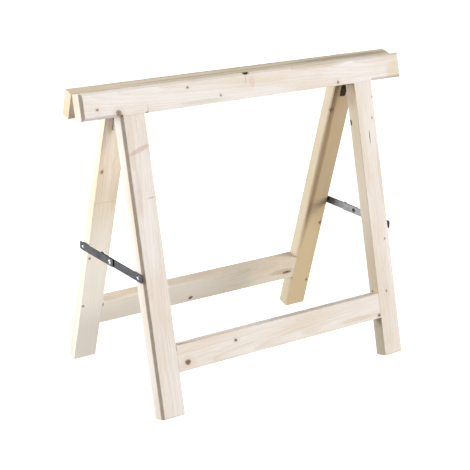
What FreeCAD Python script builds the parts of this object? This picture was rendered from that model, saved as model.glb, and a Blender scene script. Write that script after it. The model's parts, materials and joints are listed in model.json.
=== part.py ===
import FreeCAD, Part

import os

import Sketcher

from FreeCAD import Placement, Rotation, Vector

# Folding sawhorse: two leaning timber frames hinged along the top, held open by a steel folding
# stay on each side. Millimetres. +X runs along the rails, the front frame leans towards -Y, +Z is up.
# The origin is on the floor, midway between the four feet, with the sawhorse standing open.
#
# Every timber part is drawn upright, with the hinge line at its own origin, and is then leant over
# by its placement. The links of the stays are drawn level, with their screw at their own origin.

SIZES = {
    # The whole sawhorse, standing open
    "overall_height": 750.0,  # floor to the highest point of the rails
    "half_spread": 14.65,  # degrees that each frame leans from upright
    "pivot_offset": 5.0,  # hinge line to the inner face of each frame
    "pivot_drop": 11.0,  # top of each frame down to the hinge line
    # Timber
    "stock_thickness": 34.0,
    "arris_radius": 6.5,  # rounding round the outline of each frame's outer face
    "foot_radius": 2.0,  # rounding round the end of each foot
    "rail_length": 934.0,
    "rail_depth": 63.0,
    "leg_width": 62.0,
    "leg_centre": 339.0,  # middle of the sawhorse to the middle of a leg
    "stretcher_depth": 64.0,
    "stretcher_drop": 604.0,  # top of the frame down to the top of the stretcher
    "dowel_radius": 5.0,
    "dowel_length": 50.0,
    "dowel_spacing": 30.0,
    # Strap hinges
    "leaf_width": 16.0,
    "leaf_thickness": 2.0,
    "leaf_drop": 108.0,  # top of the frame down to the end of the leaf
    "leaf_corner": 4.0,
    "knuckle_radius": 4.5,
    "knuckle_width": 5.0,  # of the rear leaf's single knuckle
    "knuckle_clearance": 0.5,
    "pin_radius": 2.5,
    "pin_overhang": 0.5,
    "web_overlap": 0.01,  # of a leaf's web past the hinge line
    "hinge_screw_radius": 1.9,
    "hinge_screw_head_radius": 3.8,
    "hinge_screw_length": 20.0,
    # Folding stays
    "stay_drop": 432.0,  # top of the frame down to the stay's screws
    "stay_width": 20.0,
    "stay_thickness": 2.0,
    "stay_end": 16.0,  # middle of a hole to the end of the link
    "stay_corner": 4.0,
    "stay_tail": 46.0,  # rivet to the end of the front link's tail
    "lug_length": 8.0,
    "lug_overlap": 0.5,  # of the lug's riser into the link
    "washer_radius": 7.0,
    "washer_thickness": 1.2,
    "play": 0.3,  # gap between parts that turn past each other
    "running_fit": 0.06,  # radial clearance of a hole on its screw or pin
    "stay_screw_radius": 2.5,
    "stay_screw_length": 24.0,
    "stay_screw_head_radius": 4.5,
    "stay_screw_head_height": 2.6,
    "rivet_radius": 3.0,
    "rivet_head_radius": 6.0,
    "rivet_head_height": 2.2,
    "rivet_dimple_radius": 2.4,
    "rivet_back_radius": 5.0,
    "rivet_back_height": 1.2,
    # Cross recess of every screw
    "recess_span": 4.4,
    "recess_width": 0.9,
    "recess_depth": 1.1,
}

FRAMES = {"front": -1, "rear": 1}
SIDES = {"left": -1, "right": 1}

# Screws of a hinge leaf, as shares of its length: two in the rail and two in the leg
HINGE_SCREW_PLACES = (0.2, 0.4, 0.7, 0.9)

# Heights on a frame that stands upright with the hinge line at zero
RAIL_UNDERSIDE = "(sizes.pivot_drop - sizes.rail_depth)"
STRETCHER_TOP = "(sizes.pivot_drop - sizes.stretcher_drop)"
STAY_LEVEL = "(sizes.pivot_drop - sizes.stay_drop)"
LEAF_END = "(sizes.pivot_drop - sizes.leaf_drop)"

# Distances from the hinge line through the thickness of a frame
INNER_FACE = "sizes.pivot_offset"
OUTER_FACE = "(sizes.pivot_offset + sizes.stock_thickness)"
MID_STOCK = "(sizes.pivot_offset + sizes.stock_thickness / 2)"

# The hinge line's height that puts the rounded outer edges of the rails at overall_height, and the
# length below the hinge line that puts the rounded inner edges of the feet on the floor
PIVOT_HEIGHT = (
    "(sizes.overall_height - sizes.arris_radius"
    " - (sizes.pivot_drop - sizes.arris_radius) * cos(sizes.half_spread)"
    f" - ({OUTER_FACE} - sizes.arris_radius) * sin(sizes.half_spread))"
)
FOOT_LENGTH = (
    f"(sizes.foot_radius + ({PIVOT_HEIGHT} - sizes.foot_radius"
    f" + ({INNER_FACE} + sizes.foot_radius) * sin(sizes.half_spread)) / cos(sizes.half_spread))"
)

# The stay's screws on the open sawhorse. Each link is as long as the screws are from the middle.
STAY_REACH = f"({MID_STOCK} * cos(sizes.half_spread) - {STAY_LEVEL} * sin(sizes.half_spread))"
STAY_HEIGHT = (
    f"({PIVOT_HEIGHT} + {MID_STOCK} * sin(sizes.half_spread)"
    f" + {STAY_LEVEL} * cos(sizes.half_spread))"
)

# Distances from the middle of the sawhorse out through the stay's layers
LEG_SIDE = "(sizes.leg_centre + sizes.leg_width / 2)"
FRONT_LINK_BACK = f"({LEG_SIDE} + sizes.washer_thickness + sizes.play)"
FRONT_LINK_FACE = f"({FRONT_LINK_BACK} + sizes.stay_thickness)"
REAR_LINK_BACK = f"({FRONT_LINK_FACE} + sizes.play)"
REAR_LINK_FACE = f"({REAR_LINK_BACK} + sizes.stay_thickness)"

# Turns that point a primitive's own Z axis along one of the sawhorse's directions
ALONG = {
    "+x": Rotation(Vector(0, 1, 0), 90),
    "-x": Rotation(Vector(0, 1, 0), -90),
    "+y": Rotation(Vector(1, 0, 0), -90),
    "-y": Rotation(Vector(1, 0, 0), 90),
    "+z": Rotation(),
}

doc = FreeCAD.newDocument("folding_sawhorse")
nodes = []


def make_sheet():
    sheet = doc.addObject("Spreadsheet::Sheet", "sizes")
    for row, (alias, size) in enumerate(SIZES.items(), 1):
        sheet.set(f"A{row}", alias.replace("_", " "))
        sheet.set(f"B{row}", str(size))
        sheet.setAlias(f"B{row}", alias)
    doc.recompute()
    return sheet


sheet = make_sheet()


def value(expression):
    """The number that an expression on the sheet gives."""
    return float(sheet.evalExpression(str(expression)))


def signed(sign, expression):
    return f"({sign} * {expression})"


def toward(side, axis):
    """The name in ALONG of the outward direction on one side of an axis."""
    return ("-" if side < 0 else "+") + axis


# Placements


def put(piece, x="0", y="0", z="0", along="+z"):
    piece.Placement = Placement(Vector(), ALONG[along])
    for axis, expression in zip("xyz", (x, y, z)):
        piece.setExpression(f".Placement.Base.{axis}", str(expression))
    return piece


def lean(piece, frame):
    """Lean a part drawn upright about the hinge line over to its frame's side."""
    piece.Placement = Placement(Vector(), Rotation(Vector(FRAMES[frame], 0, 0), 1))
    piece.setExpression(".Placement.Base.z", PIVOT_HEIGHT)
    piece.setExpression(".Placement.Rotation.Angle", "sizes.half_spread")
    return piece


def finish(piece, label):
    piece.Label = label
    nodes.append(piece)
    return piece


# Part primitives


def cylinder(name, radius, length, x="0", y="0", z="0", along="+z"):
    piece = doc.addObject("Part::Cylinder", name)
    piece.setExpression("Radius", radius)
    piece.setExpression("Height", length)
    return put(piece, x, y, z, along)


def cone(name, radius, end_radius, length, x, y, z, along):
    piece = doc.addObject("Part::Cone", name)
    piece.setExpression("Radius1", radius)
    piece.setExpression("Radius2", end_radius)
    piece.setExpression("Height", length)
    return put(piece, x, y, z, along)


def dome(name, radius, height, x, y, z, along):
    """A spherical cap whose flat base is at (x, y, z) and whose crown points along."""
    ball = f"(({radius} * {radius} + {height} * {height}) / (2 * {height}))"
    piece = doc.addObject("Part::Sphere", f"{name}_ball")
    piece.setExpression("Radius", ball)
    piece.setExpression("Angle1", f"asin(({ball} - {height}) / {ball})")
    put(piece, z=f"{height} - {ball}")
    return put(group(name, [piece]), x, y, z, along)


def box(name, width, depth, height, x, y, z):
    """A box centred on (x, y, z)."""
    piece = doc.addObject("Part::Box", name)
    corner = []
    for side, size, middle in (("Length", width, x), ("Width", depth, y), ("Height", height, z)):
        piece.setExpression(side, size)
        corner.append(f"{middle} - ({size}) / 2")
    return put(piece, *corner)


def group(name, pieces):
    piece = doc.addObject("Part::Compound", name)
    piece.Links = pieces
    return piece


def fuse(name, pieces):
    piece = doc.addObject("Part::MultiFuse", name)
    piece.Shapes = pieces
    return piece


def cut(name, base, tool):
    piece = doc.addObject("Part::Cut", name)
    piece.Base = base
    piece.Tool = tool
    return piece


# PartDesign bodies


def new_sketch(body, name, plane, offset):
    sketch = body.newObject("Sketcher::SketchObject", name)
    support = next(part for part in body.Origin.OriginFeatures if part.Role == plane)
    sketch.AttachmentSupport = (support, [""])
    sketch.MapMode = "FlatFace"
    sketch.setExpression(".AttachmentOffset.Base.z", str(offset))
    return sketch


def constrain(sketch, kind, geometry, point, expression, name):
    """Tie one coordinate of a point, measured from the sketch's origin, to the sheet."""
    where = Sketcher.Constraint(kind, -1, 1, geometry, point, value(expression))
    sketch.renameConstraint(sketch.addConstraint(where), name)
    sketch.setExpression(f"Constraints.{name}", expression)


def rectangle(sketch, left, right, low, high):
    xs = (value(left), value(right))
    ys = (value(low), value(high))
    corners = [Vector(xs[i], ys[j], 0) for i, j in ((0, 0), (1, 0), (1, 1), (0, 1))]
    for i, direction in enumerate(("Horizontal", "Vertical", "Horizontal", "Vertical")):
        sketch.addGeometry(Part.LineSegment(corners[i], corners[(i + 1) % 4]))
        sketch.addConstraint(Sketcher.Constraint(direction, i))
    for i in range(4):
        sketch.addConstraint(Sketcher.Constraint("Coincident", i, 2, (i + 1) % 4, 1))
    constrain(sketch, "DistanceX", 0, 1, left, "left")
    constrain(sketch, "DistanceY", 0, 1, low, "low")
    constrain(sketch, "DistanceX", 2, 1, right, "right")
    constrain(sketch, "DistanceY", 2, 1, high, "high")


def circle(sketch, x, radius, name):
    """A circle on the sketch's horizontal axis."""
    centre = Vector(value(x), 0, 0)
    index = sketch.addGeometry(Part.Circle(centre, Vector(0, 0, 1), value(radius)))
    if value(x):
        sketch.addConstraint(Sketcher.Constraint("PointOnObject", index, 3, -1))
        constrain(sketch, "DistanceX", index, 3, x, f"{name}_x")
    else:
        sketch.addConstraint(Sketcher.Constraint("Coincident", index, 3, -1, 1))
    where = Sketcher.Constraint("Radius", index, value(radius))
    sketch.renameConstraint(sketch.addConstraint(where), f"{name}_radius")
    sketch.setExpression(f"Constraints.{name}_radius", radius)


def pad(body, sketch, length, side_type):
    feature = body.newObject("PartDesign::Pad", f"{sketch.Name}_pad")
    feature.Profile = sketch
    feature.SideType = side_type
    feature.setExpression("Length", length)
    doc.recompute()
    return feature


def bar_along_x(body, name, outline, length, centre="0"):
    """Pad a rectangle in the YZ plane equally to both sides of x = centre."""
    sketch = new_sketch(body, name, "YZ_Plane", centre)
    rectangle(sketch, *outline)
    return pad(body, sketch, length, "Symmetric")


def runs_along(edge, axis):
    straight = edge.Curve.TypeId == "Part::GeomLine"
    return straight and abs(edge.tangentAt(edge.FirstParameter).dot(axis)) > 0.999


def edges_along(shape, axis):
    return [f"Edge{i}" for i, edge in enumerate(shape.Edges, 1) if runs_along(edge, axis)]


def round_edges(body, feature, edges, radius):
    fillet = body.newObject("PartDesign::Fillet", f"{feature.Name}_rounding")
    fillet.Base = (feature, edges)
    fillet.setExpression("Radius", radius)
    doc.recompute()
    return fillet


# Timber. The outline of each frame's outer face is rounded over: the rail's top, ends and overhangs, and
# the outward sides of the legs. Every other edge is square, and boards lie flush where they join.


def stock(frame):
    """The two faces of a frame's timber, as distances along Y from the hinge line."""
    return signed(FRAMES[frame], INNER_FACE), signed(FRAMES[frame], OUTER_FACE)


def outline_edges(shape, frame, axes, side=None):
    """The edges of a board's outer face that run along one of the axes, on one side only if asked."""
    face = value(stock(frame)[1])
    chosen = []
    for axis in axes:
        for name in edges_along(shape, axis):
            middle = shape.getElement(name).CenterOfMass
            outward = side is None or SIDES[side] * middle.x > value("sizes.leg_centre")
            if abs(middle.y - face) < 0.01 and outward:
                chosen.append(name)
    return chosen


def rail_blank(frame):
    body = doc.addObject("PartDesign::Body", f"{frame}_rail_blank")
    outline = (*stock(frame), RAIL_UNDERSIDE, "sizes.pivot_drop")
    bar = bar_along_x(body, f"{frame}_rail_section", outline, "sizes.rail_length")
    edges = outline_edges(bar.Shape, frame, (Vector(1, 0, 0), Vector(0, 0, 1)))
    round_edges(body, bar, edges, "sizes.arris_radius")
    square = (*stock(frame), RAIL_UNDERSIDE, f"{RAIL_UNDERSIDE} + sizes.arris_radius")
    width = "2 * sizes.leg_centre + sizes.leg_width - 2 * sizes.arris_radius"
    bar_along_x(body, f"{frame}_rail_underside", square, width)
    return body


def stretcher_blank(frame):
    body = doc.addObject("PartDesign::Body", f"{frame}_stretcher_blank")
    outline = (*stock(frame), f"{STRETCHER_TOP} - sizes.stretcher_depth", STRETCHER_TOP)
    length = "2 * sizes.leg_centre - sizes.leg_width"
    bar_along_x(body, f"{frame}_stretcher_section", outline, length)
    return body


def leg_blank(frame, side):
    name = f"{frame}_{side}_leg"
    body = doc.addObject("PartDesign::Body", f"{name}_blank")
    sketch = new_sketch(body, f"{name}_section", "XY_Plane", signed(-1, FOOT_LENGTH))
    centre = signed(SIDES[side], "sizes.leg_centre")
    left = f"{centre} - sizes.leg_width / 2"
    right = f"{centre} + sizes.leg_width / 2"
    rectangle(sketch, left, right, *stock(frame))
    bar = pad(body, sketch, f"{FOOT_LENGTH} + {RAIL_UNDERSIDE}", "One side")
    edges = outline_edges(bar.Shape, frame, (Vector(0, 0, 1),), side)
    rounded = round_edges(body, bar, edges, "sizes.arris_radius")
    foot = rounded.Shape.BoundBox.ZMin
    foot_edges = [
        f"Edge{i}" for i, edge in enumerate(rounded.Shape.Edges, 1) if edge.BoundBox.ZMax < foot + 0.01
    ]
    round_edges(body, rounded, foot_edges, "sizes.foot_radius")
    return body


def rail_dowels(frame, side):
    """The pair of dowels that join one leg's top to the rail."""
    pieces = []
    for place in (-1, 1):
        x = f"{SIDES[side]} * sizes.leg_centre + {place} * sizes.dowel_spacing / 2"
        z = f"{RAIL_UNDERSIDE} - sizes.dowel_length / 2"
        y = signed(FRAMES[frame], MID_STOCK)
        name = f"{frame}_{side}_rail_dowel"
        pieces.append(cylinder(name, "sizes.dowel_radius", "sizes.dowel_length", x, y, z))
    return pieces


def stretcher_dowels(frame, side):
    """The pair of dowels that join one end of the stretcher to its leg."""
    pieces = []
    for place in (-1, 1):
        x = f"{SIDES[side]} * (sizes.leg_centre - sizes.leg_width / 2) - sizes.dowel_length / 2"
        y = signed(FRAMES[frame], MID_STOCK)
        middle = f"{STRETCHER_TOP} - sizes.stretcher_depth / 2"
        z = f"{middle} + {place} * sizes.dowel_spacing / 2"
        name = f"{frame}_{side}_stretcher_dowel"
        pieces.append(cylinder(name, "sizes.dowel_radius", "sizes.dowel_length", x, y, z, "+x"))
    return pieces


# Screws


def recess(name, x, y, z, direction):
    """A cross-shaped tool that sinks into a screw head whose face is at (x, y, z)."""
    span = "sizes.recess_span"
    width = "sizes.recess_width"
    deep = "2 * sizes.recess_depth"
    if direction.endswith("x"):
        bars = ((deep, span, width), (deep, width, span))
    else:
        bars = ((span, deep, width), (width, deep, span))
    return fuse(name, [box(f"{name}_bar", *bar, x, y, z) for bar in bars])


def hinge_screws(frame, side):
    """One leaf's countersunk screws, two in the rail and two in the leg, each with its plain blank."""
    direction = toward(FRAMES[frame], "y")
    x = signed(SIDES[side], "sizes.leg_centre")
    face = signed(FRAMES[frame], f"({INNER_FACE} - sizes.leaf_thickness)")
    wood = signed(FRAMES[frame], INNER_FACE)
    blanks = []
    screws = []
    for place in HINGE_SCREW_PLACES:
        z = f"{place} * {LEAF_END}"
        name = f"{side}_{frame}_hinge_screw"
        head = cone(
            f"{name}_head", "sizes.hinge_screw_head_radius", "sizes.hinge_screw_radius",
            "sizes.leaf_thickness", x, face, z, direction,
        )
        shank = cylinder(
            f"{name}_shank", "sizes.hinge_screw_radius", "sizes.hinge_screw_length", x, wood, z, direction
        )
        blank = fuse(f"{name}_blank", [head, shank])
        blanks.append(blank)
        screws.append(cut(name, blank, recess(f"{name}_recess", x, face, z, direction)))
    return blanks, screws


def stay_screw(frame, side):
    """The round-headed screw that a link of the stay turns on, and its shank alone."""
    direction = toward(SIDES[side], "x")
    y = signed(FRAMES[frame], MID_STOCK)
    under_head = FRONT_LINK_FACE if frame == "front" else REAR_LINK_FACE
    base = f"({under_head} + sizes.play)"
    name = f"{side}_{frame}_stay_screw"
    tip = f"({LEG_SIDE} - sizes.stay_screw_length)"
    shank = cylinder(
        f"{name}_shank", "sizes.stay_screw_radius", f"{base} - {tip}",
        signed(SIDES[side], tip), y, STAY_LEVEL, direction,
    )
    head = dome(
        f"{name}_head", "sizes.stay_screw_head_radius", "sizes.stay_screw_head_height",
        signed(SIDES[side], base), y, STAY_LEVEL, direction,
    )
    crown = signed(SIDES[side], f"({base} + sizes.stay_screw_head_height)")
    cross = recess(f"{name}_recess", crown, y, STAY_LEVEL, direction)
    return shank, cut(name, fuse(f"{name}_blank", [shank, head]), cross)


# Strap hinges


def hinge_leaf(frame, side, screw_blanks):
    """A strap on the frame's inner face with its knuckles round the hinge line."""
    name = f"{side}_hinge_{frame}_leaf"
    body = doc.addObject("PartDesign::Body", f"{name}_blank")
    centre = signed(SIDES[side], "sizes.leg_centre")
    outer = signed(FRAMES[frame], INNER_FACE)
    inner = signed(FRAMES[frame], f"({INNER_FACE} - sizes.leaf_thickness)")
    strap_top = "(-1 * (sizes.knuckle_radius + sizes.knuckle_clearance))"
    strap = bar_along_x(
        body, f"{name}_strap", (inner, outer, LEAF_END, strap_top), "sizes.leaf_width", centre
    )
    low_corners = [
        edge
        for edge in edges_along(strap.Shape, Vector(0, 1, 0))
        if strap.Shape.getElement(edge).CenterOfMass.z < value(LEAF_END) + 0.01
    ]
    round_edges(body, strap, low_corners, "sizes.leaf_corner")
    if frame == "rear":
        knuckles = {"middle": (centre, "sizes.knuckle_width")}
        bore = "sizes.pin_radius + sizes.running_fit"
    else:
        width = "(sizes.leaf_width / 2 - sizes.knuckle_width / 2 - sizes.play)"
        shift = f"(sizes.leaf_width / 2 - {width} / 2)"
        knuckles = {
            "left": (f"{centre} - {shift}", width),
            "right": (f"{centre} + {shift}", width),
        }
        bore = "sizes.pin_radius"
    web = (inner, outer, strap_top, "sizes.web_overlap")
    for place, (middle, width) in knuckles.items():
        bar_along_x(body, f"{name}_{place}_web", web, width, middle)
        sketch = new_sketch(body, f"{name}_{place}_knuckle", "YZ_Plane", middle)
        circle(sketch, "0", "sizes.knuckle_radius", "barrel")
        pad(body, sketch, width, "Symmetric")
    pin_hole = cylinder(
        f"{name}_pin_hole", bore, "2 * sizes.leaf_width", f"{centre} - sizes.leaf_width", along="+x"
    )
    return cut(name, body, group(f"{name}_holes", [pin_hole, *screw_blanks]))


def hinge_pin(side):
    length = "(sizes.leaf_width + 2 * sizes.pin_overhang)"
    start = f"{SIDES[side]} * sizes.leg_centre - {length} / 2"
    return cylinder(f"{side}_hinge_pin", "sizes.pin_radius", length, start, "0", PIVOT_HEIGHT, "+x")


# Folding stays


def stay_packing(frame, side):
    """The ring on the screw between a link and its leg: a washer in front, a spacer behind."""
    if frame == "front":
        thickness = "sizes.washer_thickness"
    else:
        thickness = f"({REAR_LINK_BACK} - sizes.play - {LEG_SIDE})"
    name = f"{side}_{frame}_stay_packing"
    start = signed(SIDES[side], LEG_SIDE)
    y = signed(FRAMES[frame], MID_STOCK)
    direction = toward(SIDES[side], "x")
    ring = cylinder(f"{name}_disc", "sizes.washer_radius", thickness, start, y, STAY_LEVEL, direction)
    hole = cylinder(f"{name}_hole", "sizes.stay_screw_radius", thickness, start, y, STAY_LEVEL, direction)
    return cut(name, ring, hole)


def stay_link(frame, side):
    """One link, drawn level with its screw at its own origin; the front one carries the stop."""
    name = f"{side}_stay_{frame}_link"
    body = doc.addObject("PartDesign::Body", name)
    back = FRONT_LINK_BACK if frame == "front" else REAR_LINK_BACK
    inward = -FRAMES[frame]
    tail = "sizes.stay_tail" if frame == "front" else "sizes.stay_end"
    sketch = new_sketch(body, f"{name}_outline", "YZ_Plane", "0")
    half = "sizes.stay_width / 2"
    near = signed(-inward, "sizes.stay_end")
    far = signed(inward, f"({STAY_REACH} + {tail})")
    rectangle(sketch, near, far, f"-1 * {half}", half)
    circle(sketch, "0", "sizes.stay_screw_radius + sizes.running_fit", "screw_hole")
    circle(sketch, signed(inward, STAY_REACH), "sizes.rivet_radius", "rivet_hole")
    plate = pad(body, sketch, "sizes.stay_thickness", "Symmetric")
    round_edges(body, plate, edges_along(plate.Shape, Vector(1, 0, 0)), "sizes.stay_corner")
    if frame == "front":
        add_stop_lug(body, name, side, far)
    put(
        body,
        signed(SIDES[side], f"({back} + sizes.stay_thickness / 2)"),
        signed(FRAMES[frame], STAY_REACH),
        STAY_HEIGHT,
    )
    return body


def add_stop_lug(body, name, side, tail_end):
    """A tab that stands up from the tail and is bent out over the rear link's upper edge."""
    end = f"{tail_end} - sizes.stay_corner"
    start = f"{end} - sizes.lug_length"
    edge = "sizes.stay_width / 2"
    seat = f"{edge} + sizes.play"
    top = f"{seat} + sizes.stay_thickness"
    foot = f"{edge} - sizes.lug_overlap"
    bar_along_x(body, f"{name}_riser", (start, end, foot, top), "sizes.stay_thickness")
    width = "2 * sizes.stay_thickness + sizes.play"
    centre = signed(SIDES[side], "(sizes.stay_thickness + sizes.play) / 2")
    bar_along_x(body, f"{name}_lug", (start, end, seat, top), width, centre)


def rivet_front(side):
    """The half of the rivet in the rear link, whose dished head shows on the outside."""
    name = f"{side}_stay_rivet_head"
    direction = toward(SIDES[side], "x")
    start = signed(SIDES[side], REAR_LINK_BACK)
    face = signed(SIDES[side], REAR_LINK_FACE)
    shank = cylinder(
        f"{name}_shank", "sizes.rivet_radius", "sizes.stay_thickness", start, "0", STAY_HEIGHT, direction
    )
    head = dome(
        f"{name}_dome", "sizes.rivet_head_radius", "sizes.rivet_head_height",
        face, "0", STAY_HEIGHT, direction,
    )
    dimple = cylinder(
        f"{name}_dimple", "sizes.rivet_dimple_radius", "2 * sizes.rivet_head_height",
        signed(SIDES[side], f"({REAR_LINK_FACE} + sizes.rivet_head_height / 4)"),
        "0", STAY_HEIGHT, direction,
    )
    return cut(name, fuse(f"{name}_blank", [shank, head]), dimple)


def rivet_back(side):
    """The half of the rivet in the front link, with a flat head next to the legs."""
    name = f"{side}_stay_rivet_back"
    direction = toward(SIDES[side], "x")
    low = signed(SIDES[side], f"({FRONT_LINK_BACK} - sizes.rivet_back_height)")
    flange = cylinder(
        f"{name}_flange", "sizes.rivet_back_radius", "sizes.rivet_back_height",
        low, "0", STAY_HEIGHT, direction,
    )
    shank = cylinder(
        f"{name}_shank", "sizes.rivet_radius", "sizes.stay_thickness",
        signed(SIDES[side], FRONT_LINK_BACK), "0", STAY_HEIGHT, direction,
    )
    return fuse(name, [flange, shank])


# The sawhorse


def build_frame(frame):
    rail_bores = []
    stretcher_bores = []
    for side in SIDES:
        to_rail = rail_dowels(frame, side)
        to_stretcher = stretcher_dowels(frame, side)
        blanks, screws = hinge_screws(frame, side)
        shank, screw = stay_screw(frame, side)
        leaf = hinge_leaf(frame, side, blanks)
        finish(lean(leaf, frame), f"{side}_hinge_{frame}_leaf")
        finish(lean(group("screws", screws), frame), f"{side}_hinge_{frame}_screws")
        finish(lean(group("screw", [screw]), frame), f"{side}_stay_{frame}_screw")
        packing = "washer" if frame == "front" else "spacer"
        finish(lean(stay_packing(frame, side), frame), f"{side}_stay_{frame}_{packing}")
        leg_bores = group("leg_bores", [*to_rail, *to_stretcher, *blanks, shank])
        leg = cut("leg", leg_blank(frame, side), leg_bores)
        finish(lean(leg, frame), f"{frame}_{side}_leg")
        rail_bores += [*to_rail, *blanks]
        stretcher_bores += to_stretcher
    rail = cut("rail", rail_blank(frame), group("rail_bores", rail_bores))
    finish(lean(rail, frame), f"{frame}_rail")
    stretcher = cut("stretcher", stretcher_blank(frame), group("stretcher_bores", stretcher_bores))
    finish(lean(stretcher, frame), f"{frame}_stretcher")
    dowels = [piece for piece in rail_bores if "dowel" in piece.Name]
    finish(lean(group("dowels", dowels), frame), f"{frame}_rail_dowels")
    finish(lean(group("dowels", stretcher_bores), frame), f"{frame}_stretcher_dowels")


def build_joints(side):
    finish(hinge_pin(side), f"{side}_hinge_pin")
    for frame in FRAMES:
        finish(stay_link(frame, side), f"{side}_stay_{frame}_link")
    finish(rivet_front(side), f"{side}_stay_rivet_head")
    finish(rivet_back(side), f"{side}_stay_rivet_back")


def check():
    doc.recompute()
    for piece in doc.Objects:
        if {"Invalid", "Error"} & set(piece.State):
            raise RuntimeError(f"{piece.Label} did not recompute: {piece.State}")
    for piece in nodes:
        if piece.Shape.isNull() or not piece.Shape.isValid() or not piece.Shape.Solids:
            raise RuntimeError(f"{piece.Label} has no valid solid")


def export():
    os.makedirs("parts", exist_ok=True)
    for piece in nodes:
        piece.Shape.exportStep(f"parts/{piece.Label}.step")


for frame in FRAMES:
    build_frame(frame)
for side in SIDES:
    build_joints(side)
check()
export()
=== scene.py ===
import json
import math

import bmesh
import bpy
from mathutils import Euler, Matrix, Vector, noise

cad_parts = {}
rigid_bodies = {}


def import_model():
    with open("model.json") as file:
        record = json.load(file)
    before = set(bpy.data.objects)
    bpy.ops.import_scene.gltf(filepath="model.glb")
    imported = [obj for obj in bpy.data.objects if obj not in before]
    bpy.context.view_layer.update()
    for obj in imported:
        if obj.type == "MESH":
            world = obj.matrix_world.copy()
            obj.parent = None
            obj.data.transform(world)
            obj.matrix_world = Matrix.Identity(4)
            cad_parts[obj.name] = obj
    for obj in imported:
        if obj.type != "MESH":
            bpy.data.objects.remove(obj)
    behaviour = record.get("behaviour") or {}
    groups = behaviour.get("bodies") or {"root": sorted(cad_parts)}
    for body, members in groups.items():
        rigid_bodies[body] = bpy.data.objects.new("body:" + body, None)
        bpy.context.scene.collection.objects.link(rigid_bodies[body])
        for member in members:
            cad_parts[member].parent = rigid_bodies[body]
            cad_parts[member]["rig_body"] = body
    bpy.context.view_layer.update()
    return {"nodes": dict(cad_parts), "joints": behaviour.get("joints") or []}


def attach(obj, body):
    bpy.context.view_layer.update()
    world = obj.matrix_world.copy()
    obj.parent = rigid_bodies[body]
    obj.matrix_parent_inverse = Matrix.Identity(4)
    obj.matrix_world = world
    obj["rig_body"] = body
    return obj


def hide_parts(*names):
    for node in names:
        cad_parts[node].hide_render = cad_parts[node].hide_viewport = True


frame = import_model()
slots = {name: node.material_slots[0].material.name for name, node in frame["nodes"].items()}

# A folding sawhorse of planed spruce with zinc-plated folding stays. Metres, in the row frame.
#
# Each frame of the sawhorse has coordinates of its own, measured as if it stood upright: x along the
# rails, y through the thickness with the hinge line at zero, z up from the hinge line. The boards,
# their grain and their knots are placed in these. Surface marks are listed in millimetres, as x and
# the drop from the top of the frame.

MM = 0.001
FOLD = next(joint for joint in frame["joints"] if joint["name"] == "fold")
PIVOT_HEIGHT = FOLD["pos_m"][2]
HALF_SPREAD = math.radians(FOLD["range_deg"][1] / 2)
FRAMES = {"front": -1, "rear": 1}


def upright_matrix(side):
    """Takes a point in the upright coordinates of one frame to the row frame."""
    return Matrix.Translation((0, 0, PIVOT_HEIGHT)) @ Matrix.Rotation(FRAMES[side] * HALF_SPREAD, 4, "X")


def upright_box(node, side):
    """The corners of a CAD node in the upright coordinates of its frame."""
    turn = upright_matrix(side).inverted()
    points = [turn @ vertex.co for vertex in frame["nodes"][node].data.vertices]
    low = Vector(min(point[i] for point in points) for i in range(3))
    high = Vector(max(point[i] for point in points) for i in range(3))
    return low, high


FRAME_TOP = upright_box("front_rail", "front")[1].z


# Shader graphs


class Graph:
    """Builds a material's nodes. An input is given as a number, a tuple or another node's socket."""

    def __init__(self, name):
        self.material = bpy.data.materials.new(f"{name}_finish")
        self.material.use_nodes = True
        self.tree = self.material.node_tree
        self.tree.nodes.clear()

    def add(self, kind, inputs, **settings):
        node = self.tree.nodes.new("ShaderNode" + kind)
        for name, setting in settings.items():
            setattr(node, name, setting)
        for key, source in inputs.items():
            if isinstance(source, bpy.types.NodeSocket):
                self.tree.links.new(source, node.inputs[key])
            else:
                node.inputs[key].default_value = source
        return node

    def math(self, operation, *values):
        return self.add("Math", dict(enumerate(values)), operation=operation).outputs[0]

    def vector(self, operation, *values):
        node = self.add("VectorMath", dict(enumerate(values)), operation=operation)
        return node.outputs["Value" if operation in ("LENGTH", "DOT_PRODUCT") else "Vector"]

    def scaled(self, vector, scale):
        return self.vector("MULTIPLY", vector, scale)

    def noise(self, vector, detail=2.0, roughness=0.5):
        inputs = {"Vector": vector, "Scale": 1.0, "Detail": detail, "Roughness": roughness}
        return self.add("TexNoise", inputs).outputs["Fac"]

    def spread(self, value, low, high, to_low=0.0, to_high=1.0):
        """Maps low..high to to_low..to_high with eased ends."""
        inputs = {"Value": value, "From Min": low, "From Max": high, "To Min": to_low, "To Max": to_high}
        return self.add("MapRange", inputs, interpolation_type="SMOOTHSTEP").outputs["Result"]

    def ramp(self, factor, stops):
        node = self.add("ValToRGB", {"Fac": factor})
        elements = node.color_ramp.elements
        while len(elements) < len(stops):
            elements.new(0.5)
        for element, (position, colour) in zip(elements, stops):
            element.position = position
            element.color = colour if isinstance(colour, tuple) else (colour, colour, colour, 1)
        return node.outputs["Color"]

    def mix(self, factor, a, b, blend="MIX"):
        node = self.add("Mix", {"Factor": factor}, data_type="RGBA", blend_type=blend)
        for key, source in ((6, a), (7, b)):
            if isinstance(source, bpy.types.NodeSocket):
                self.tree.links.new(source, node.inputs[key])
            else:
                node.inputs[key].default_value = source
        return node.outputs[2]

    def surface(self, colour, roughness, height, bump_distance, **constants):
        """Ends the graph in a Principled shader. The constants are the shader's own inputs."""
        bump = self.add("Bump", {"Strength": 1.0, "Distance": bump_distance, "Height": height})
        inputs = {"Base Color": colour, "Roughness": roughness, "Normal": bump.outputs[0]}
        inputs.update({name.replace("_", " "): number for name, number in constants.items()})
        shader = self.add("BsdfPrincipled", inputs)
        output = self.add("OutputMaterial", {})
        self.tree.links.new(shader.outputs[0], output.inputs["Surface"])
        return self.material


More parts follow.
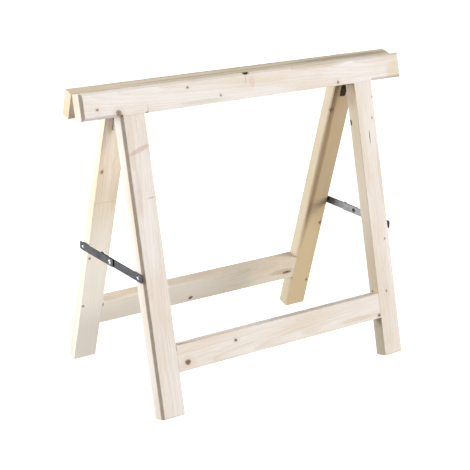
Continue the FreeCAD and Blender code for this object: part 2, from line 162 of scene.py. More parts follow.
def rgb(red, green, blue):
    """An sRGB colour, 0 to 255, as the linear colour that a shader takes."""
    linear = []
    for channel in (red, green, blue):
        share = channel / 255
        linear.append(share / 12.92 if share <= 0.04045 else ((share + 0.055) / 1.055) ** 2.4)
    return (*linear, 1)


# Timber

KNOT_WOOD = (
    (0.0, rgb(58, 40, 28)),
    (0.25, rgb(104, 76, 52)),
    (0.45, rgb(140, 106, 76)),
    (0.62, rgb(122, 90, 62)),
    (0.8, rgb(160, 126, 94)),
    (0.93, rgb(84, 62, 44)),
    (1.0, rgb(140, 112, 84)),
)
KNOT_DEPTH = 13 * MM  # how far a knot reaches in from its face
THROUGH = {"inner": 5, "outer": 39}  # the faces of a frame, from the hinge line through the thickness
LATEWOOD_PROFILE = ((0.0, 0.0), (0.45, 0.12), (0.8, 0.75), (0.93, 1.0), (0.985, 0.55), (1.0, 0.0))

# Each board: the colour of its early wood, the line of its pith as y and across offsets from the middle
# of the section in millimetres, the ring spacing, how far the pith drifts across in a metre of length,
# and how strongly its knots show
BOARDS = {
    "front_rail": {
        "tint": rgb(243, 236, 229), "pith": (46, 22), "ring": 2.6, "drift": 14, "knots": 0.85,
    },
    "rear_rail": {
        "tint": rgb(238, 227, 204), "pith": (38, 60), "ring": 3.0, "drift": -10, "knots": 0.8,
    },
    "front_left_leg": {
        "tint": rgb(243, 236, 229), "pith": (52, -14), "ring": 2.8, "drift": 12, "knots": 0.8,
    },
    "front_right_leg": {
        "tint": rgb(242, 234, 224), "pith": (40, 30), "ring": 2.4, "drift": -16, "knots": 0.8,
    },
    "rear_left_leg": {
        "tint": rgb(240, 229, 211), "pith": (60, 20), "ring": 2.7, "drift": 9, "knots": 0.8,
    },
    "rear_right_leg": {
        "tint": rgb(236, 224, 200), "pith": (48, -24), "ring": 2.5, "drift": -12, "knots": 1.0,
    },
    "front_stretcher": {
        "tint": rgb(242, 234, 224), "pith": (44, -18), "ring": 2.9, "drift": 15, "knots": 1.0,
    },
    "rear_stretcher": {
        "tint": rgb(238, 227, 208), "pith": (44, 26), "ring": 2.6, "drift": -13, "knots": 1.0,
    },
}

# Knots by the face they are on: x, drop, radius along the grain and radius across it
KNOTS = {
    "front_rail": {
        "outer": (
            (-427.5, 40.9, 3.4, 3), (-374.1, 53.4, 7, 6), (-184.9, 17.8, 3.2, 2.8), (-95.8, 46.2, 3, 2.6),
            (257.6, 54.6, 4.5, 3.6),
        ),
        "inner": ((-392, 22, 5, 4), (-60, 40, 9, 7), (300, 26, 6, 5)),
    },
    "rear_rail": {
        "inner": ((-236, 44, 8, 6.5), (212, 38, 10, 8)),
        "outer": ((-402, 36, 9, 7), (-148, 20, 5, 4), (96, 45, 7, 5.5), (391, 27, 5, 4)),
    },
    "front_left_leg": {
        "inner": ((-350, 236, 6, 5), (-322, 540, 8, 6)),
    },
    "front_right_leg": {
        "outer": (
            (362, 103.4, 2.8, 2.2), (354.1, 156.1, 3, 2.4), (350.3, 467.6, 2.8, 2.4), (335.6, 602.4, 3, 2.6),
        ),
        "inner": ((330, 300, 6, 5), (352, 660, 5, 4)),
    },
    "rear_left_leg": {
        "inner": ((-364, 602.3, 4, 3.2), (-363, 460.3, 4.2, 3.4), (-360, 217.6, 5, 3.8)),
        "outer": ((-330, 180, 8, 6), (-350, 470, 5, 4)),
    },
    "rear_right_leg": {
        "inner": ((314, 145.6, 8, 6.5), (363, 499, 5.5, 4.6), (361, 689.4, 4.5, 3.6)),
        "outer": ((345, 250, 7, 5.5), (330, 610, 6, 4.5)),
    },
    "front_stretcher": {
        "outer": ((303, 660, 5, 4), (-281.9, 648.9, 8, 6.5), (-141.9, 627.2, 4.2, 3.8)),
        "inner": ((-190, 640, 7, 5), (90, 622, 5, 4)),
    },
    "rear_stretcher": {
        "inner": ((-34.5, 655.7, 6.5, 5), (282, 645.9, 14, 4)),
        "outer": ((-120, 634, 8, 6), (180, 652, 5, 4)),
    },
}

# Knots on the narrow faces, on the side towards -x or +x: y through the thickness, drop, radii
SIDE_KNOTS = {
    "front_right_leg": {-1: ((17.4, 600, 3.6, 3),), 1: ((20, 340, 6, 4),)},
    "front_left_leg": {1: ((22, 410, 5, 4),)},
    "rear_right_leg": {1: ((24, 200, 6, 4.5),)},
    "rear_left_leg": {1: ((26, 520, 5, 4),)},
}

# Stains, cracks, torn wood, bands darker along edges, painted shade and painted light: x, y, drop,
# radii along the grain, through and across, the turn about y in degrees, the colour and how strongly it
# covers
MARKS_AND_PAINTED_LIGHT = {
    "front_rail": (
        # darker along the outer edge of the left end
        (-467, 39, 30, (7.5, 7.5, 60), 0, rgb(190, 166, 130), 0.5),
        (-2.5, 39, 25, (9, 6, 16), 0, rgb(222, 190, 182), 0.5),
        (-20.5, 39, 16, (1.6, 6, 15), 0, rgb(176, 164, 146), 0.6),
        # painted shade in the torn nick on the top edge
        (-16, 34, 2, (11, 8, 5.5), 0, rgb(70, 52, 38), 1.0),
        (-301.9, 39, 62, (5, 6, 2.6), 0, rgb(128, 92, 56), 0.8),
        (455, 39, 45, (42, 12, 32), 0, rgb(216, 194, 142), 0.45),
        # painted shadow under the knot, along the lower edge over the left leg
        (-372, 39, 61.5, (9, 6, 3), 0, rgb(96, 74, 56), 0.6),
        (-210, 20, 0, (250, 3.5, 2), 0, rgb(158, 130, 88), 0.55),
        (140, 26, 0, (320, 5, 2), 0, rgb(166, 140, 100), 0.45),
        (205, 39, 8, (90, 10, 6), 0, rgb(190, 160, 124), 0.3),
        (-150, 39, 55, (70, 9, 5), 0, rgb(196, 176, 150), 0.35),
    ),
    "rear_rail": (
        (40, 33, 1, (520, 3.5, 4), 0, rgb(132, 112, 82), 0.6),
        (-80, 14, 0, (300, 2.5, 2), 0, rgb(160, 134, 92), 0.5),
        (320, 16, 0, (200, 9, 2), 0, rgb(146, 128, 98), 0.5),
    ),
    "front_left_leg": (
        # darker along the outer left edge of the leg
        (-370, 39, 420, (700, 7.5, 7.5), 0, rgb(186, 158, 120), 0.65),
        (-334.4, 39, 142.6, (6.5, 8, 34), 17.6, rgb(186, 148, 124), 0.42),
        (-320, 39, 254.3, (2.6, 6, 12), 4, rgb(168, 152, 136), 0.4),
        (-350, 39, 240, (70, 8, 7), 0, rgb(214, 196, 184), 0.4),
    ),
    "front_right_leg": (
        (339.5, 39, 202.8, (21, 6, 1.3), 0.6, rgb(52, 42, 34), 1.0),
        (359, 39, 300, (90, 10, 5), 0, rgb(206, 190, 176), 0.4),
        # painted shade: the left face darkened all along, and darker still at the top under the rail
        (308, 20, 420, (700, 60, 2.5), 0, rgb(200, 180, 142), 0.5),
        (308, 20, 70, (60, 30, 3), 0, rgb(178, 150, 122), 0.6),
        (308, 9, 161.7, (9, 5, 6), 0, rgb(24, 19, 16), 1.0),
    ),
    "rear_left_leg": (
        (-338, 5, 304, (1.6, 8, 34), -1, rgb(178, 152, 122), 0.28),
        # painted shade near the top under the rail
        (-352, 5, 92, (30, 8, 9), 0, rgb(204, 168, 124), 0.5),
        # painted light: the lower part of the inner face paled
        (-345, 5, 660, (340, 9, 60), 0, rgb(252, 246, 234), 0.8),
    ),
    "rear_right_leg": (
        # painted shade: the inner face darkened, less towards the bottom and more along its upper left edge
        (338, 5, 420, (900, 9, 70), 0, rgb(178, 150, 106), 0.75),
        (338, 5, 690, (260, 9, 60), 0, rgb(226, 202, 158), 0.7),
        (314, 5, 270, (300, 9, 12), 0, rgb(128, 96, 62), 0.6),
        # painted shade: the left face darkened
        (308, 20, 420, (700, 60, 3), 0, rgb(206, 192, 160), 0.4),
    ),
    "front_stretcher": ((230, 39, 655, (60, 8, 7), 0, rgb(208, 184, 154), 0.4),),
    "rear_stretcher": (
        # painted light: the left part of the inner face paled
        (-210, 5, 636, (300, 9, 60), 0, rgb(250, 243, 231), 0.6),
        (-306, 5, 611.6, (2.5, 7, 7), 0, rgb(110, 92, 72), 0.7),
        (262, 5, 640, (45, 8, 9), 0, rgb(192, 162, 118), 0.5),
    ),
}


def ellipsoid_distance(graph, place, centre, radii, turn=0.0):
    """Distance from a centre counted in radii, so that it is 1 on the ellipsoid."""
    inputs = {"Vector": place, "Location": centre, "Rotation": (0, turn, 0), "Scale": radii}
    return graph.vector("LENGTH", graph.add("Mapping", inputs, vector_type="TEXTURE").outputs[0])


def nearest(graph, distances):
    closest = distances[0]
    for distance in distances[1:]:
        closest = graph.math("MINIMUM", closest, distance)
    return closest


def timber(name, seed):
    """Spruce with solid growth rings, knots that the rings bend round, fibre, end grain, worn edges and the
    listed marks, some of them painted shade and painted light.
    """
    board = BOARDS[name]
    side = name.split("_")[0]
    upright = name.endswith("leg")
    low, high = upright_box(name, side)
    middle = (low + high) / 2
    graph = Graph(name)

    coordinates = graph.add("TexCoord", {})
    local = graph.add(
        "Mapping",
        {
            "Vector": coordinates.outputs["Object"],
            "Location": (0, 0, PIVOT_HEIGHT),
            "Rotation": (FRAMES[side] * HALF_SPREAD, 0, 0),
        },
        vector_type="TEXTURE",
    ).outputs[0]
    parts = graph.add("SeparateXYZ", {0: local})
    x, y, z = parts.outputs
    along, across = (z, x) if upright else (x, z)
    # The grain's own coordinates: along it, through the thickness, across the width
    place = graph.add("CombineXYZ", {0: along, 1: y, 2: across}).outputs[0]
    shifted = graph.vector("ADD", place, (seed * 1.37, seed * 0.61, seed * 0.23))

    # Knots
    wobble = graph.add("TexNoise", {"Vector": graph.scaled(shifted, (90, 90, 90)), "Scale": 1.0})
    offset = graph.vector("SUBTRACT", wobble.outputs["Color"], (0.5, 0.5, 0.5))
    ragged = graph.vector("ADD", place, graph.scaled(offset, (0.004, 0.003, 0.003)))
    distances = []
    for face, knots in KNOTS[name].items():
        face_y = FRAMES[side] * THROUGH[face] * MM
        for knot_x, drop, radius_along, radius_across in knots:
            knot_z = FRAME_TOP - drop * MM
            centre = (knot_z, face_y, knot_x * MM) if upright else (knot_x * MM, face_y, knot_z)
            radii = (radius_along * MM, KNOT_DEPTH, radius_across * MM)
            distances.append(ellipsoid_distance(graph, ragged, centre, radii))
    for direction, knots in SIDE_KNOTS.get(name, {}).items():
        face_x = high.x if direction > 0 else low.x
        for knot_y, drop, radius_along, radius_across in knots:
            centre = (FRAME_TOP - drop * MM, FRAMES[side] * knot_y * MM, face_x)
            radii = (radius_along * MM, radius_across * MM, KNOT_DEPTH)
            distances.append(ellipsoid_distance(graph, ragged, centre, radii))
    knot = nearest(graph, distances)
    knot_mask = graph.spread(knot, 1.12, 0.9)
    halo = graph.spread(knot, 3.2, 0.8)

    # Growth rings
    waviness = graph.noise(graph.scaled(shifted, (2.2, 9, 9)), detail=1.0)
    fine_waviness = graph.noise(graph.scaled(shifted, (14, 60, 60)), detail=2.0)
    pith_y = middle.y + board["pith"][0] * MM
    pith_across = (middle.x if upright else middle.z) + board["pith"][1] * MM
    from_pith = graph.vector("SUBTRACT", place, (0, pith_y, pith_across))
    drift = graph.math("MULTIPLY", along, board["drift"] * MM)
    leaning = graph.vector("ADD", from_pith, graph.add("CombineXYZ", {1: drift}).outputs[0])
    radius = graph.vector("LENGTH", graph.scaled(leaning, (0, 1, 1)))
    radius = graph.math("MULTIPLY_ADD", waviness, 0.012, radius)
    radius = graph.math("MULTIPLY_ADD", fine_waviness, 0.0012, radius)
    radius = graph.math("MULTIPLY_ADD", halo, 0.007, radius)
    count = graph.math("DIVIDE", radius, board["ring"] * MM)
    unevenness = graph.noise(graph.add("CombineXYZ", {0: graph.math("MULTIPLY", count, 0.7)}).outputs[0])
    count = graph.math("MULTIPLY_ADD", unevenness, 1.3, count)
    ring = graph.ramp(graph.math("FRACT", count), LATEWOOD_PROFILE)
    strength = graph.noise(graph.add("CombineXYZ", {0: graph.math("MULTIPLY", count, 0.35)}).outputs[0])
    ring = graph.math("MULTIPLY", ring, graph.spread(strength, 0.3, 0.7, 0.35, 1.0))

    # Fibre, pores and slow changes of colour
    fibre = graph.noise(graph.scaled(shifted, (22, 900, 900)), detail=4.0, roughness=0.6)
    streak = graph.noise(graph.scaled(shifted, (3, 120, 120)), detail=3.0)
    patch = graph.noise(graph.scaled(shifted, (5, 22, 22)), detail=2.0)
    dashes = graph.noise(graph.scaled(shifted, (160, 2400, 2400)), detail=1.0)
    canal = graph.spread(dashes, 0.70, 0.76)

    # End grain
    sine = FRAMES[side] * math.sin(HALF_SPREAD)
    grain_direction = (0, -sine, math.cos(HALF_SPREAD)) if upright else (1, 0, 0)
    facing = graph.vector("DOT_PRODUCT", coordinates.outputs["Normal"], grain_direction)
    end_grain = graph.spread(graph.math("ABSOLUTE", facing), 0.45, 0.8)
    speckle = graph.noise(graph.scaled(shifted, (300, 1500, 1500)), detail=3.0)

    # Handling marks along the arrises
    half = (high - low) / 2
    from_middle = graph.vector("ABSOLUTE", graph.vector("SUBTRACT", local, middle))
    edges = graph.add("SeparateXYZ", {0: graph.vector("DIVIDE", from_middle, half)})
    near_face = graph.spread(edges.outputs[1], 0.8, 1.0)
    near_edge = graph.spread(edges.outputs[0 if upright else 2], 0.88, 1.0)
    smudge = graph.noise(graph.scaled(shifted, (26, 60, 60)), detail=3.0, roughness=0.7)
    near_arris = graph.math("MULTIPLY", near_face, near_edge)
    wear = graph.math("MULTIPLY", near_arris, graph.spread(smudge, 0.45, 0.75))

    tint = board["tint"]
    latewood = (tint[0] * 0.78, tint[1] * 0.66, tint[2] * 0.52, 1)
    warm = (tint[0] * 0.97, tint[1] * 0.93, tint[2] * 0.87, 1)
    pale = (min(tint[0] * 1.05, 1), min(tint[1] * 1.06, 1), min(tint[2] * 1.08, 1), 1)
    colour = graph.mix(graph.spread(patch, 0.35, 0.7), pale, warm)
    ring_cover = graph.math("MULTIPLY", ring, graph.spread(end_grain, 0, 1, 0.42, 0.8))
    colour = graph.mix(ring_cover, colour, latewood)
    colour = graph.mix(graph.spread(streak, 0.5, 0.8, 0, 0.22), colour, latewood)
    colour = graph.mix(graph.spread(fibre, 0.35, 0.7, 0.16, 0.0), colour, rgb(168, 140, 112), "MULTIPLY")
    colour = graph.mix(graph.math("MULTIPLY", canal, 0.35), colour, rgb(140, 96, 60))
    colour = graph.mix(graph.math("MULTIPLY", halo, 0.26), colour, rgb(200, 172, 142))
    colour = graph.mix(graph.math("MULTIPLY", end_grain, 0.25), colour, rgb(226, 208, 178), "MULTIPLY")
    colour = graph.mix(graph.math("MULTIPLY", wear, 0.35), colour, rgb(176, 158, 138), "MULTIPLY")
    # Each mark mixes in its colour: stains, and painted shade and painted light
    for mark_x, mark_y, drop, radii, turn, stain_and_painted_light, cover in MARKS_AND_PAINTED_LIGHT.get(name, ()):
        mark_y *= FRAMES[side] * MM
        mark_z = FRAME_TOP - drop * MM
        centre = (mark_z, mark_y, mark_x * MM) if upright else (mark_x * MM, mark_y, mark_z)
        radii = [radius * MM for radius in radii]
        mark = ellipsoid_distance(graph, ragged, centre, radii, math.radians(turn))
        colour = graph.mix(graph.spread(mark, 1.15, 0.55, 0, cover), colour, stain_and_painted_light)
    knot_cover = graph.math("MULTIPLY", knot_mask, board["knots"])
    colour = graph.mix(knot_cover, colour, graph.ramp(knot, KNOT_WOOD))

    height = graph.math("MULTIPLY", ring, 0.35)
    height = graph.math("MULTIPLY_ADD", fibre, 0.8, height)
    height = graph.math("MULTIPLY_ADD", graph.math("MULTIPLY", speckle, end_grain), 2.0, height)
    height = graph.math("MULTIPLY_ADD", knot_mask, 0.6, height)
    roughness = graph.spread(fibre, 0.3, 0.7, 0.5, 0.66)
    roughness = graph.math("MULTIPLY_ADD", end_grain, 0.18, roughness)
    roughness = graph.math("MULTIPLY_ADD", knot_mask, -0.12, roughness)
    return graph.surface(colour, roughness, height, bump_distance=0.00025, Specular_IOR_Level=0.35)


def beech(name):
    """The dowels' pale wood, flecked, which only shows where a joint opens."""
    graph = Graph(name)
    place = graph.add("TexCoord", {}).outputs["Object"]
    fleck = graph.noise(graph.scaled(place, (900, 900, 120)), detail=3.0)
    patch = graph.noise(graph.scaled(place, (40, 40, 40)))
    colour = graph.mix(graph.spread(fleck, 0.4, 0.7), rgb(214, 176, 132), rgb(170, 122, 82))
    colour = graph.mix(graph.spread(patch, 0.3, 0.7, 0, 0.3), colour, rgb(190, 146, 104))
    rough = graph.spread(fleck, 0.3, 0.7, 0.5, 0.7)
    return graph.surface(colour, rough, fleck, bump_distance=0.0002)


# Metal


def metal(name, base, dark, roughness, scratch_along, mottle_scale=160.0):
    """Plated steel: mottled plating, fine scratches along one axis and dulled patches."""
    graph = Graph(name)
    place = graph.add("TexCoord", {}).outputs["Object"]
    mottle = graph.noise(graph.scaled(place, (mottle_scale,) * 3), detail=4.0, roughness=0.6)
    cloud = graph.noise(graph.scaled(place, (35, 35, 35)), detail=2.0)
    scratch = graph.noise(graph.scaled(place, scratch_along), detail=3.0, roughness=0.7)
    line = graph.spread(scratch, 0.58, 0.66)
    colour = graph.mix(graph.spread(mottle, 0.35, 0.7), base, dark)
    colour = graph.mix(graph.spread(cloud, 0.4, 0.7, 0, 0.4), colour, dark)
    lighter = tuple(min(1, channel * 1.7) for channel in base[:3]) + (1,)
    colour = graph.mix(graph.math("MULTIPLY", line, 0.35), colour, lighter)
    rough = graph.spread(cloud, 0.3, 0.7, roughness - 0.08, roughness + 0.1)
    rough = graph.math("MULTIPLY_ADD", line, -0.1, rough)
    height = graph.math("MULTIPLY_ADD", line, -0.5, mottle)
    return graph.surface(colour, rough, height, bump_distance=0.00006, Metallic=1.0)


MATERIALS = {name: timber(name, seed) for seed, name in enumerate(BOARDS, 1)}
MATERIALS["dowel_beech"] = beech("dowel_beech")
# The stays' zinc is given a dark base, a painted dark reflection
MATERIALS["stay_zinc"] = metal("stay_zinc", rgb(68, 70, 74), rgb(18, 20, 24), 0.36, (700, 26, 700), 420.0)
MATERIALS["hinge_steel"] = metal("hinge_steel", rgb(200, 202, 206), rgb(150, 153, 158), 0.26, (700, 500, 40))
MATERIALS["rivet_steel"] = metal("rivet_steel", rgb(196, 198, 204), rgb(140, 143, 150), 0.3, (500, 500, 500))
MATERIALS["screw_zinc"] = metal("screw_zinc", rgb(206, 208, 214), rgb(150, 153, 160), 0.26, (500, 500, 500))

# A paler copy of the stays' zinc, painted light, and a darker copy of the plated steel, painted shade
MATERIALS["lit_zinc"] = metal("lit_zinc", rgb(150, 152, 156), rgb(78, 80, 84), 0.42, (700, 26, 700), 420.0)
MATERIALS["shaded_steel"] = metal("shaded_steel", rgb(56, 52, 46), rgb(24, 22, 19), 0.5, (700, 500, 40))


# Steel pieces that are given a darker or a paler finish than their slot's: painted shade and a painted dark
# reflection on the right hinge's rear leaf and its screws, the same darker finish on the rivets' backs,
# and painted light on the right stay's links
SHADED_AND_LIT_STEEL = {
    "right_hinge_rear_leaf": "shaded_steel",
    "right_hinge_rear_screws": "shaded_steel",
    "left_stay_rivet_back": "shaded_steel",
    "right_stay_rivet_back": "shaded_steel",
    "right_stay_front_link": "lit_zinc",
    "right_stay_rear_link": "lit_zinc",
}


def finish_of(node_name):
    return MATERIALS[SHADED_AND_LIT_STEEL.get(node_name, slots[node_name])]


for node_name, node in frame["nodes"].items():
    node.material_slots[0].material = finish_of(node_name)


# Boards as planed and handled timber: rounded edges that aren't quite even, and dents

ARRIS = 6.5 * MM  # radius of the edges on the outline of a frame's outer face
ARRIS_FLATNESS = 0.85  # 0 for a quarter circle, 1 for a plain chamfer
SQUARE_RADIUS = 0.5 * MM  # of every other edge along a board
JOINT_FADE = 3 * MM  # the length over which a rail's lower edge goes from square to rounded
FOOT_ROUNDING = 2 * MM
ARC_STEPS = 6
FACE_STEPS = 5
FADE_STEPS = 4
DENT_STEPS = 7  # in a dent's radius
DENT_REACH = 9  # how many of those steps there are on each side of its centre
STATION_SPACING = 9 * MM
PLANING_DEPTH = 0.00010  # mean unevenness of a planed face, in metres
ARRIS_WEAR = 0.00035  # mean wear of a rounded edge, in metres
MERGE_DISTANCE = 1e-6
BOARD_SHARP_ANGLE = 25

# Torn and knocked places: x, y, drop, radii along, through and across the grain, and depth
DENTS = {
    "front_rail": (
        (-16, 37, 2, (9.5, 6, 5), 1.6), (-301.9, 38, 61, (5.5, 6, 4), 2.0), (120, 38, 1, (5, 5, 5), 0.7),
        (-330, 38, 1, (7, 5, 5), 0.6),
    ),
    "rear_rail": ((60, 38, 1, (8, 6, 5), 1.0), (-250, 7, 1, (6, 5, 5), 0.8), (330, 38, 61, (7, 6, 5), 1.2)),
    "front_left_leg": ((-366, 38, 330, (6, 5, 5), 0.7), (-310, 38, 610, (8, 5, 5), 0.9)),
    "front_right_leg": ((310, 38, 430, (7, 5, 5), 0.9), (308, 8, 161.7, (5.5, 4, 4), 1.6)),
    "rear_left_leg": ((-366, 38, 500, (7, 5, 5), 1.0),),
    "rear_right_leg": ((366, 38, 380, (6, 5, 5), 0.9),),
    "front_stretcher": ((40, 38, 606, (6, 5, 4), 0.6),),
    "rear_stretcher": ((-90, 38, 606, (7, 5, 4), 0.8),),
}


def dents_of(name, side, upright):
    """Centres, radii and depths in the upright coordinates."""
    dents = []
    for x, y, drop, (along, through, across), depth in DENTS[name]:
        centre = Vector((x * MM, FRAMES[side] * y * MM, FRAME_TOP - drop * MM))
        radii = (across, through, along) if upright else (along, through, across)
        dents.append((centre, Vector(radii) * MM, depth * MM))
    return dents


def arris_point(share):
    """A point on the profile of a rounded edge, from (1, 0) to (0, 1) in radii."""
    angle = math.radians(90 * share)
    return (
        ARRIS_FLATNESS * (1 - share) + (1 - ARRIS_FLATNESS) * math.cos(angle),
        ARRIS_FLATNESS * share + (1 - ARRIS_FLATNESS) * math.sin(angle),
    )


def section(half_y, half_w, radii):
    """Points round a board's section as y, w, the outward direction and whether they are on an arris.

    There is a radius for each corner, counted round from +y +w by way of -y +w.
    """
    corners = []
    for quarter, radius in enumerate(radii):
        turn = 1j**quarter
        diagonal = (1 + 1j) * turn
        centre_y = diagonal.real * (half_y - radius)
        centre_w = diagonal.imag * (half_w - radius)
        arc = []
        for step in range(ARC_STEPS + 1):
            share = step / ARC_STEPS
            bend = complex(*arris_point(share)) * turn
            away = complex(math.cos(math.radians(90 * share)), math.sin(math.radians(90 * share))) * turn
            y, w = centre_y + radius * bend.real, centre_w + radius * bend.imag
            arc.append((y, w, away.real, away.imag, radius > SQUARE_RADIUS))
        corners.append(arc)
    points = []
    for arc, following in zip(corners, corners[1:] + corners[:1]):
        points += arc
        y, w, *direction = arc[-1][:4]
        for step in range(1, FACE_STEPS):
            share = step / FACE_STEPS
            next_y, next_w = following[0][:2]
            points.append((y + share * (next_y - y), w + share * (next_w - w), *direction, False))
    return points


def rounded_corners(name, side):
    """The corners of a board's section, numbered as in section, that are on the outline of its frame."""
    outer = {"front": {1, 2}, "rear": {0, 3}}[side]
    if name.endswith("rail"):
        return outer
    if name.endswith("leg"):
        return outer & ({2, 3} if "left" in name else {0, 1})
    return set()


def corner_radii(place, corners, underside):
    """Radii of a section's corners. A rail's lower corners are square over the underside's length."""
    radii = [ARRIS if corner in corners else SQUARE_RADIUS for corner in range(4)]
    if underside:
        outside = max(abs(place) - underside, 0)
        fade = min(outside / JOINT_FADE, 1)
        for corner in corners & {2, 3}:
            radii[corner] = SQUARE_RADIUS + fade * (ARRIS - SQUARE_RADIUS)
    return radii


def stations(low, high, roundings, dents, axis, underside):
    """Places along a board, in order and closer together at dents and joints.

    Each comes with how far the section is drawn in there, which rounds the ends.
    """
    count = math.ceil((high - low) / STATION_SPACING)
    places = [low + (high - low) * step / count for step in range(1, count)]
    for centre, radii, _ in dents:
        dent_steps = range(-DENT_REACH, DENT_REACH + 1)
        places += [centre[axis] + radii[axis] * step / DENT_STEPS for step in dent_steps]
    if underside:
        for step in range(FADE_STEPS + 1):
            end = underside + JOINT_FADE * step / FADE_STEPS
            places += [-end, end]
    first, last = low + roundings[0], high - roundings[1]
    insets = {place: 0.0 for place in (first, last, *places) if first <= place <= last}
    for end_place, rounding, outward in ((low, roundings[0], -1), (high, roundings[1], 1)):
        for step in range(1, ARC_STEPS + 1 if rounding else 1):
            inward, along = arris_point(step / ARC_STEPS)
            insets[end_place - outward * rounding * (1 - along)] = rounding * (1 - inward)
    return sorted(insets.items())


def worn(point, on_arris, dents):
    """How far the surface lies below the ideal board at a point."""
    depth = PLANING_DEPTH * (1 + noise.noise(point * 30))
    if on_arris:
        depth += ARRIS_WEAR * (1 + noise.noise(point * 55 + Vector((3, 1, 2))))
    for centre, radii, deepest in dents:
        offset = point - centre
        distance = Vector(offset[i] / radii[i] for i in range(3)).length
        if distance < 1:
            ragged = 1 + 0.5 * noise.noise(point * 700)
            depth += deepest * (1 - distance * distance) ** 0.6 * ragged
    return depth


def make_board(name):
    side = name.split("_")[0]
    upright = name.endswith("leg")
    low, high = upright_box(name, side)
    middle, half = (low + high) / 2, (high - low) / 2
    axis, width_axis = (2, 0) if upright else (0, 2)
    roundings = {"leg": (FOOT_ROUNDING, 0), "rail": (ARRIS, ARRIS), "stretcher": (0, 0)}
    dents = dents_of(name, side, upright)
    corners = rounded_corners(name, side)
    underside = upright_box(f"{side}_right_leg", side)[1].x - ARRIS if name.endswith("rail") else 0
    steps = stations(low[axis], high[axis], roundings[name.split("_")[-1]], dents, axis, underside)
    to_row = upright_matrix(side)
    mesh = bmesh.new()
    rings = []
    for place, inset in steps:
        ring = []
        radii = corner_radii(place, corners, underside)
        for y, w, dy, dw, on_arris in section(half.y, half[width_axis], radii):
            y = FRAMES[side] * min(FRAMES[side] * y, half.y - inset)
            if upright:
                y = FRAMES[side] * max(FRAMES[side] * y, inset - half.y)
                w = max(inset - half[width_axis], min(half[width_axis] - inset, w))
            point, direction = Vector(), Vector()
            point[axis], point.y, point[width_axis] = place, middle.y + y, middle[width_axis] + w
            direction.y, direction[width_axis] = dy, dw
            if not inset:
                point -= direction * worn(point, on_arris, dents)
            ring.append(mesh.verts.new(to_row @ point))
        rings.append(ring)
    for ring, following in zip(rings, rings[1:]):
        for i in range(len(ring)):
            j = (i + 1) % len(ring)
            mesh.faces.new((ring[i], ring[j], following[j], following[i]))
    mesh.faces.new(rings[0])
    mesh.faces.new(rings[-1])
    bmesh.ops.remove_doubles(mesh, verts=mesh.verts, dist=MERGE_DISTANCE)
    bmesh.ops.recalc_face_normals(mesh, faces=mesh.faces)
    board = add_piece(
        f"{name}_board", mesh, MATERIALS[name], f"{side}_frame", BOARD_SHARP_ANGLE
    )
    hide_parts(name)


def add_piece(name, mesh, material, body, sharp_angle):
    """Makes an object of a bmesh that rides on a body and takes its finish from a slot."""
    data = bpy.data.meshes.new(name)
    mesh.to_mesh(data)
    mesh.free()
    data.polygons.foreach_set("use_smooth", [True] * len(data.polygons))
    data.set_sharp_from_angle(angle=math.radians(sharp_angle))
    data.materials.append(material)
    piece = bpy.data.objects.new(name, data)
    bpy.context.scene.collection.objects.link(piece)
    weighted = piece.modifiers.new("weighted_normals", "WEIGHTED_NORMAL")
    weighted.keep_sharp = True
    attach(piece, body)
    return piece


for board_name in BOARDS:
    make_board(board_name)


# Pressed steel with its edges rolled over

ROLLED = {"link": 0.45 * MM, "leaf": 0.4 * MM, "washer": 0.3 * MM, "spacer": 0.3 * MM}
ROLL_SEGMENTS = 2
ROLL_ANGLE = math.radians(40)  # edges that turn by more are rolled
FLAT_ANGLE = math.radians(0.5)  # faces that turn by less are joined before that
STEEL_SHARP_ANGLE = 30


def roll_edges(name, width):
    node = frame["nodes"][name]
    mesh = bmesh.new()
    mesh.from_mesh(node.data)
    bmesh.ops.remove_doubles(mesh, verts=mesh.verts, dist=MERGE_DISTANCE)
    bmesh.ops.dissolve_limit(mesh, angle_limit=FLAT_ANGLE, verts=mesh.verts, edges=mesh.edges)
    piece = add_piece(
        f"{name}_pressed", mesh, finish_of(name), node["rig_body"], STEEL_SHARP_ANGLE
    )
    bevel = piece.modifiers.new("rolled_edges", "BEVEL")
    bevel.width = width
    bevel.segments = ROLL_SEGMENTS
    bevel.limit_method = "ANGLE"
    bevel.angle_limit = ROLL_ANGLE
    bevel.harden_normals = True
    piece.modifiers.move(1, 0)  # ahead of the weighted normals
    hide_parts(name)


for node_name in frame["nodes"]:
    kind = node_name.split("_")[-1]
    if kind in ROLLED:
        roll_edges(node_name, ROLLED[kind])


# Stage

FLOOR_REACH = 12.0
FLOOR_GREYS = ((0.80, 0.80, 0.80, 1), (0.82, 0.82, 0.82, 1))
FLOOR_GLOW = 0.85
AMBIENT = 0.23  # strength of the world's light on the object; the camera sees it at 1
CAMERA_PLACE = (-1.8506, -2.5833, 1.4281)
CAMERA_HEADING = -35.4125
CAMERA_DIP = 19.114
CAMERA_ROLL = 1.179
SENSOR_WIDTH = 36
FOCAL_LENGTH = 102.54


def make_floor():
    mesh = bpy.data.meshes.new("floor")
    corners = [(-1, -1), (1, -1), (1, 1), (-1, 1)]
    mesh.from_pydata([(x * FLOOR_REACH, y * FLOOR_REACH, 0) for x, y in corners], [], [(0, 1, 2, 3)])
    floor = bpy.data.objects.new("floor", mesh)
    bpy.context.scene.collection.objects.link(floor)
    graph = Graph("floor_white")
    place = graph.add("TexCoord", {}).outputs["Object"]
    grain = graph.noise(graph.scaled(place, (60, 60, 60)))
    shade = graph.mix(grain, *FLOOR_GREYS)
    glow = {"Emission_Color": (1, 1, 1, 1), "Emission_Strength": FLOOR_GLOW}
    material = graph.surface(shade, 0.8, grain, bump_distance=0.0001, **glow)
    mesh.materials.append(material)
    floor.visible_diffuse = False


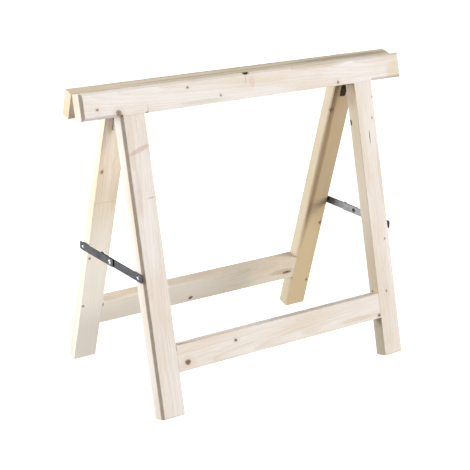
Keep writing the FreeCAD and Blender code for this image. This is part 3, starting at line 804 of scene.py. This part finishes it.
def make_world():
    """White behind the object, and a dimmer even light on it."""
    world = bpy.data.worlds.new("studio")
    world.use_nodes = True
    nodes = world.node_tree.nodes
    background = nodes["Background"]
    background.inputs["Color"].default_value = (1, 1, 1, 1)
    path = nodes.new("ShaderNodeLightPath")
    strength = nodes.new("ShaderNodeMapRange")
    strength.inputs["To Min"].default_value = AMBIENT
    strength.inputs["To Max"].default_value = 1.0
    links = world.node_tree.links
    links.new(path.outputs["Is Camera Ray"], strength.inputs["Value"])
    links.new(strength.outputs["Result"], background.inputs["Strength"])
    bpy.context.scene.world = world


def area_light(name, place, target, size, power):
    light = bpy.data.lights.new(name, "AREA")
    light.shape = "SQUARE"
    light.size = size
    light.energy = power
    lamp = bpy.data.objects.new(name, light)
    lamp.location = place
    lamp.rotation_euler = (Vector(target) - Vector(place)).to_track_quat("-Z", "Y").to_euler()
    lamp.visible_camera = False
    bpy.context.scene.collection.objects.link(lamp)


def sun_light(name, direction, angle, strength):
    """An even light from a direction, as soft as its angle is wide."""
    light = bpy.data.lights.new(name, "SUN")
    light.angle = angle
    light.energy = strength
    lamp = bpy.data.objects.new(name, light)
    lamp.rotation_euler = Vector(direction).to_track_quat("Z", "Y").to_euler()
    bpy.context.scene.collection.objects.link(lamp)


def make_camera():
    data = bpy.data.cameras.new("camera")
    data.sensor_width = SENSOR_WIDTH
    data.lens = FOCAL_LENGTH
    camera = bpy.data.objects.new("camera", data)
    aim = Euler((math.radians(90 - CAMERA_DIP), 0, math.radians(CAMERA_HEADING))).to_matrix().to_4x4()
    roll = Matrix.Rotation(math.radians(CAMERA_ROLL), 4, "Z")
    camera.matrix_world = Matrix.Translation(CAMERA_PLACE) @ aim @ roll
    bpy.context.scene.collection.objects.link(camera)
    bpy.context.scene.camera = camera


make_floor()
make_world()
area_light("left_light", (-2.2, 1.3, 0.65), target=(-0.1, 0, 0.4), size=1.0, power=58)
area_light("top_light", (-1.2, 0.5, 1.4), target=(-0.2, 0, 0.7), size=0.5, power=5)
sun_light("front_light", (0.75, -0.62, 0.26), angle=0.8, strength=3.8)
make_camera()
bpy.context.scene.view_settings.view_transform = "Standard"

bpy.context.view_layer.update()
